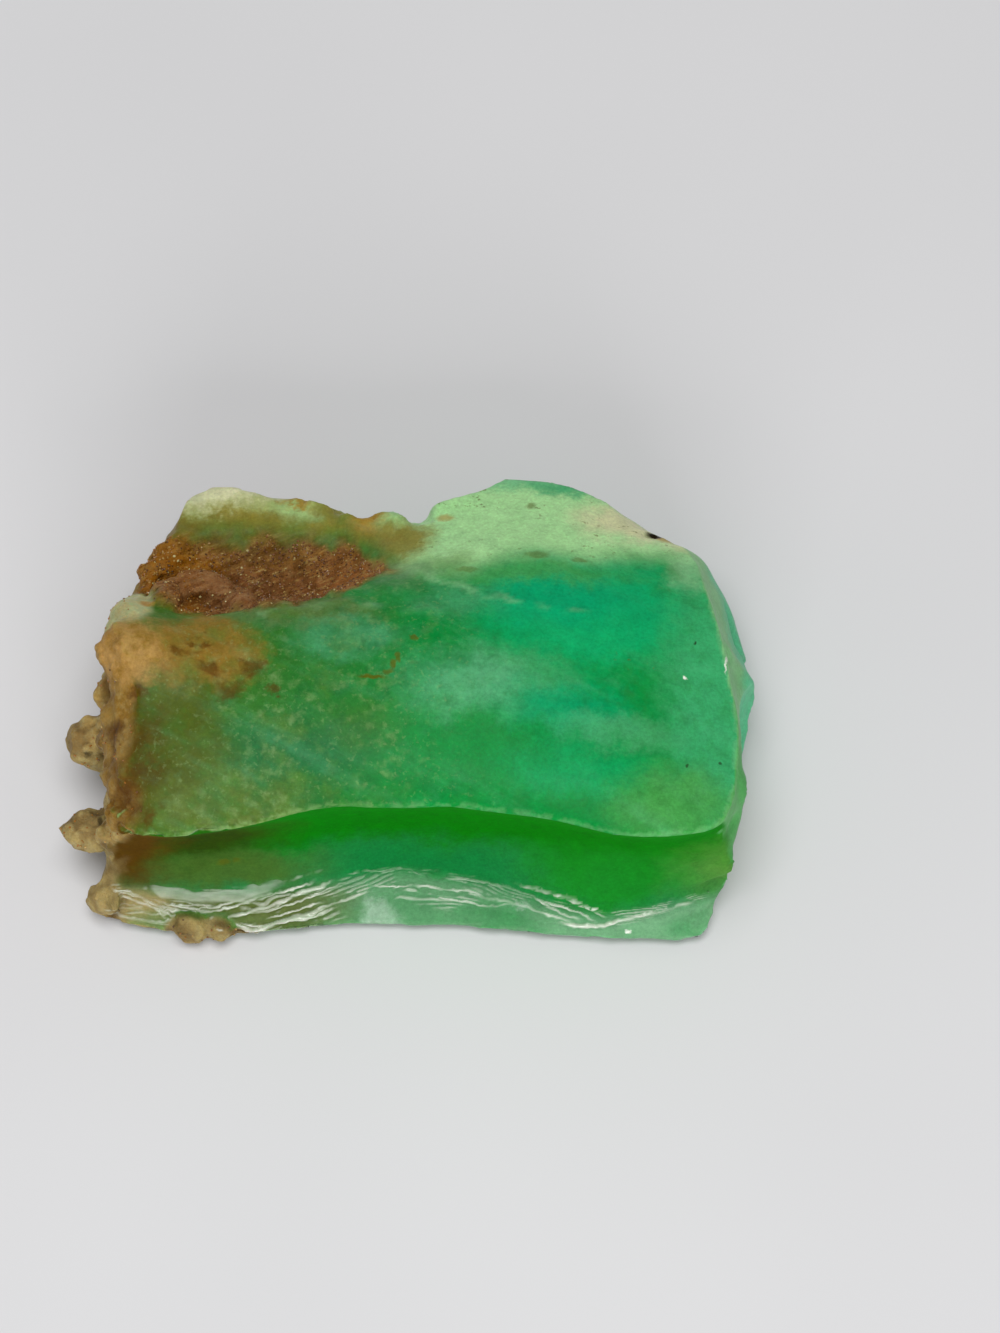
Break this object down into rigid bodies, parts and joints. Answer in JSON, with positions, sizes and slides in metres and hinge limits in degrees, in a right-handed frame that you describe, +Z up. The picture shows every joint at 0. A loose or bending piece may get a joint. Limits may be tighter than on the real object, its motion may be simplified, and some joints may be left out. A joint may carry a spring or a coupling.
{
  "type": "raw chrysoprase",
  "caption": "Rough lump of translucent green chalcedony with a sharp front lip over a concave rippled break, a thin pale rear lobe and a knobbly brown crust.",
  "frame": {"origin": "middle of the bounding box, on the flat face that the stone rests on", "axes": "+X along the stone's length, away from the crusted end; +Y from the concave front break towards the rear lobes; +Z up from the resting face"},
  "size_m": [0.0422, 0.0288, 0.0152],
  "materials": {
    "chrysoprase": "waxy translucent green chalcedony, glossy on the conchoidal break, matt and grainy on the brown crust"
  },
  "bodies": {
    "root": {"chrysoprase": "chrysoprase"}
  },
  "joints": []
}
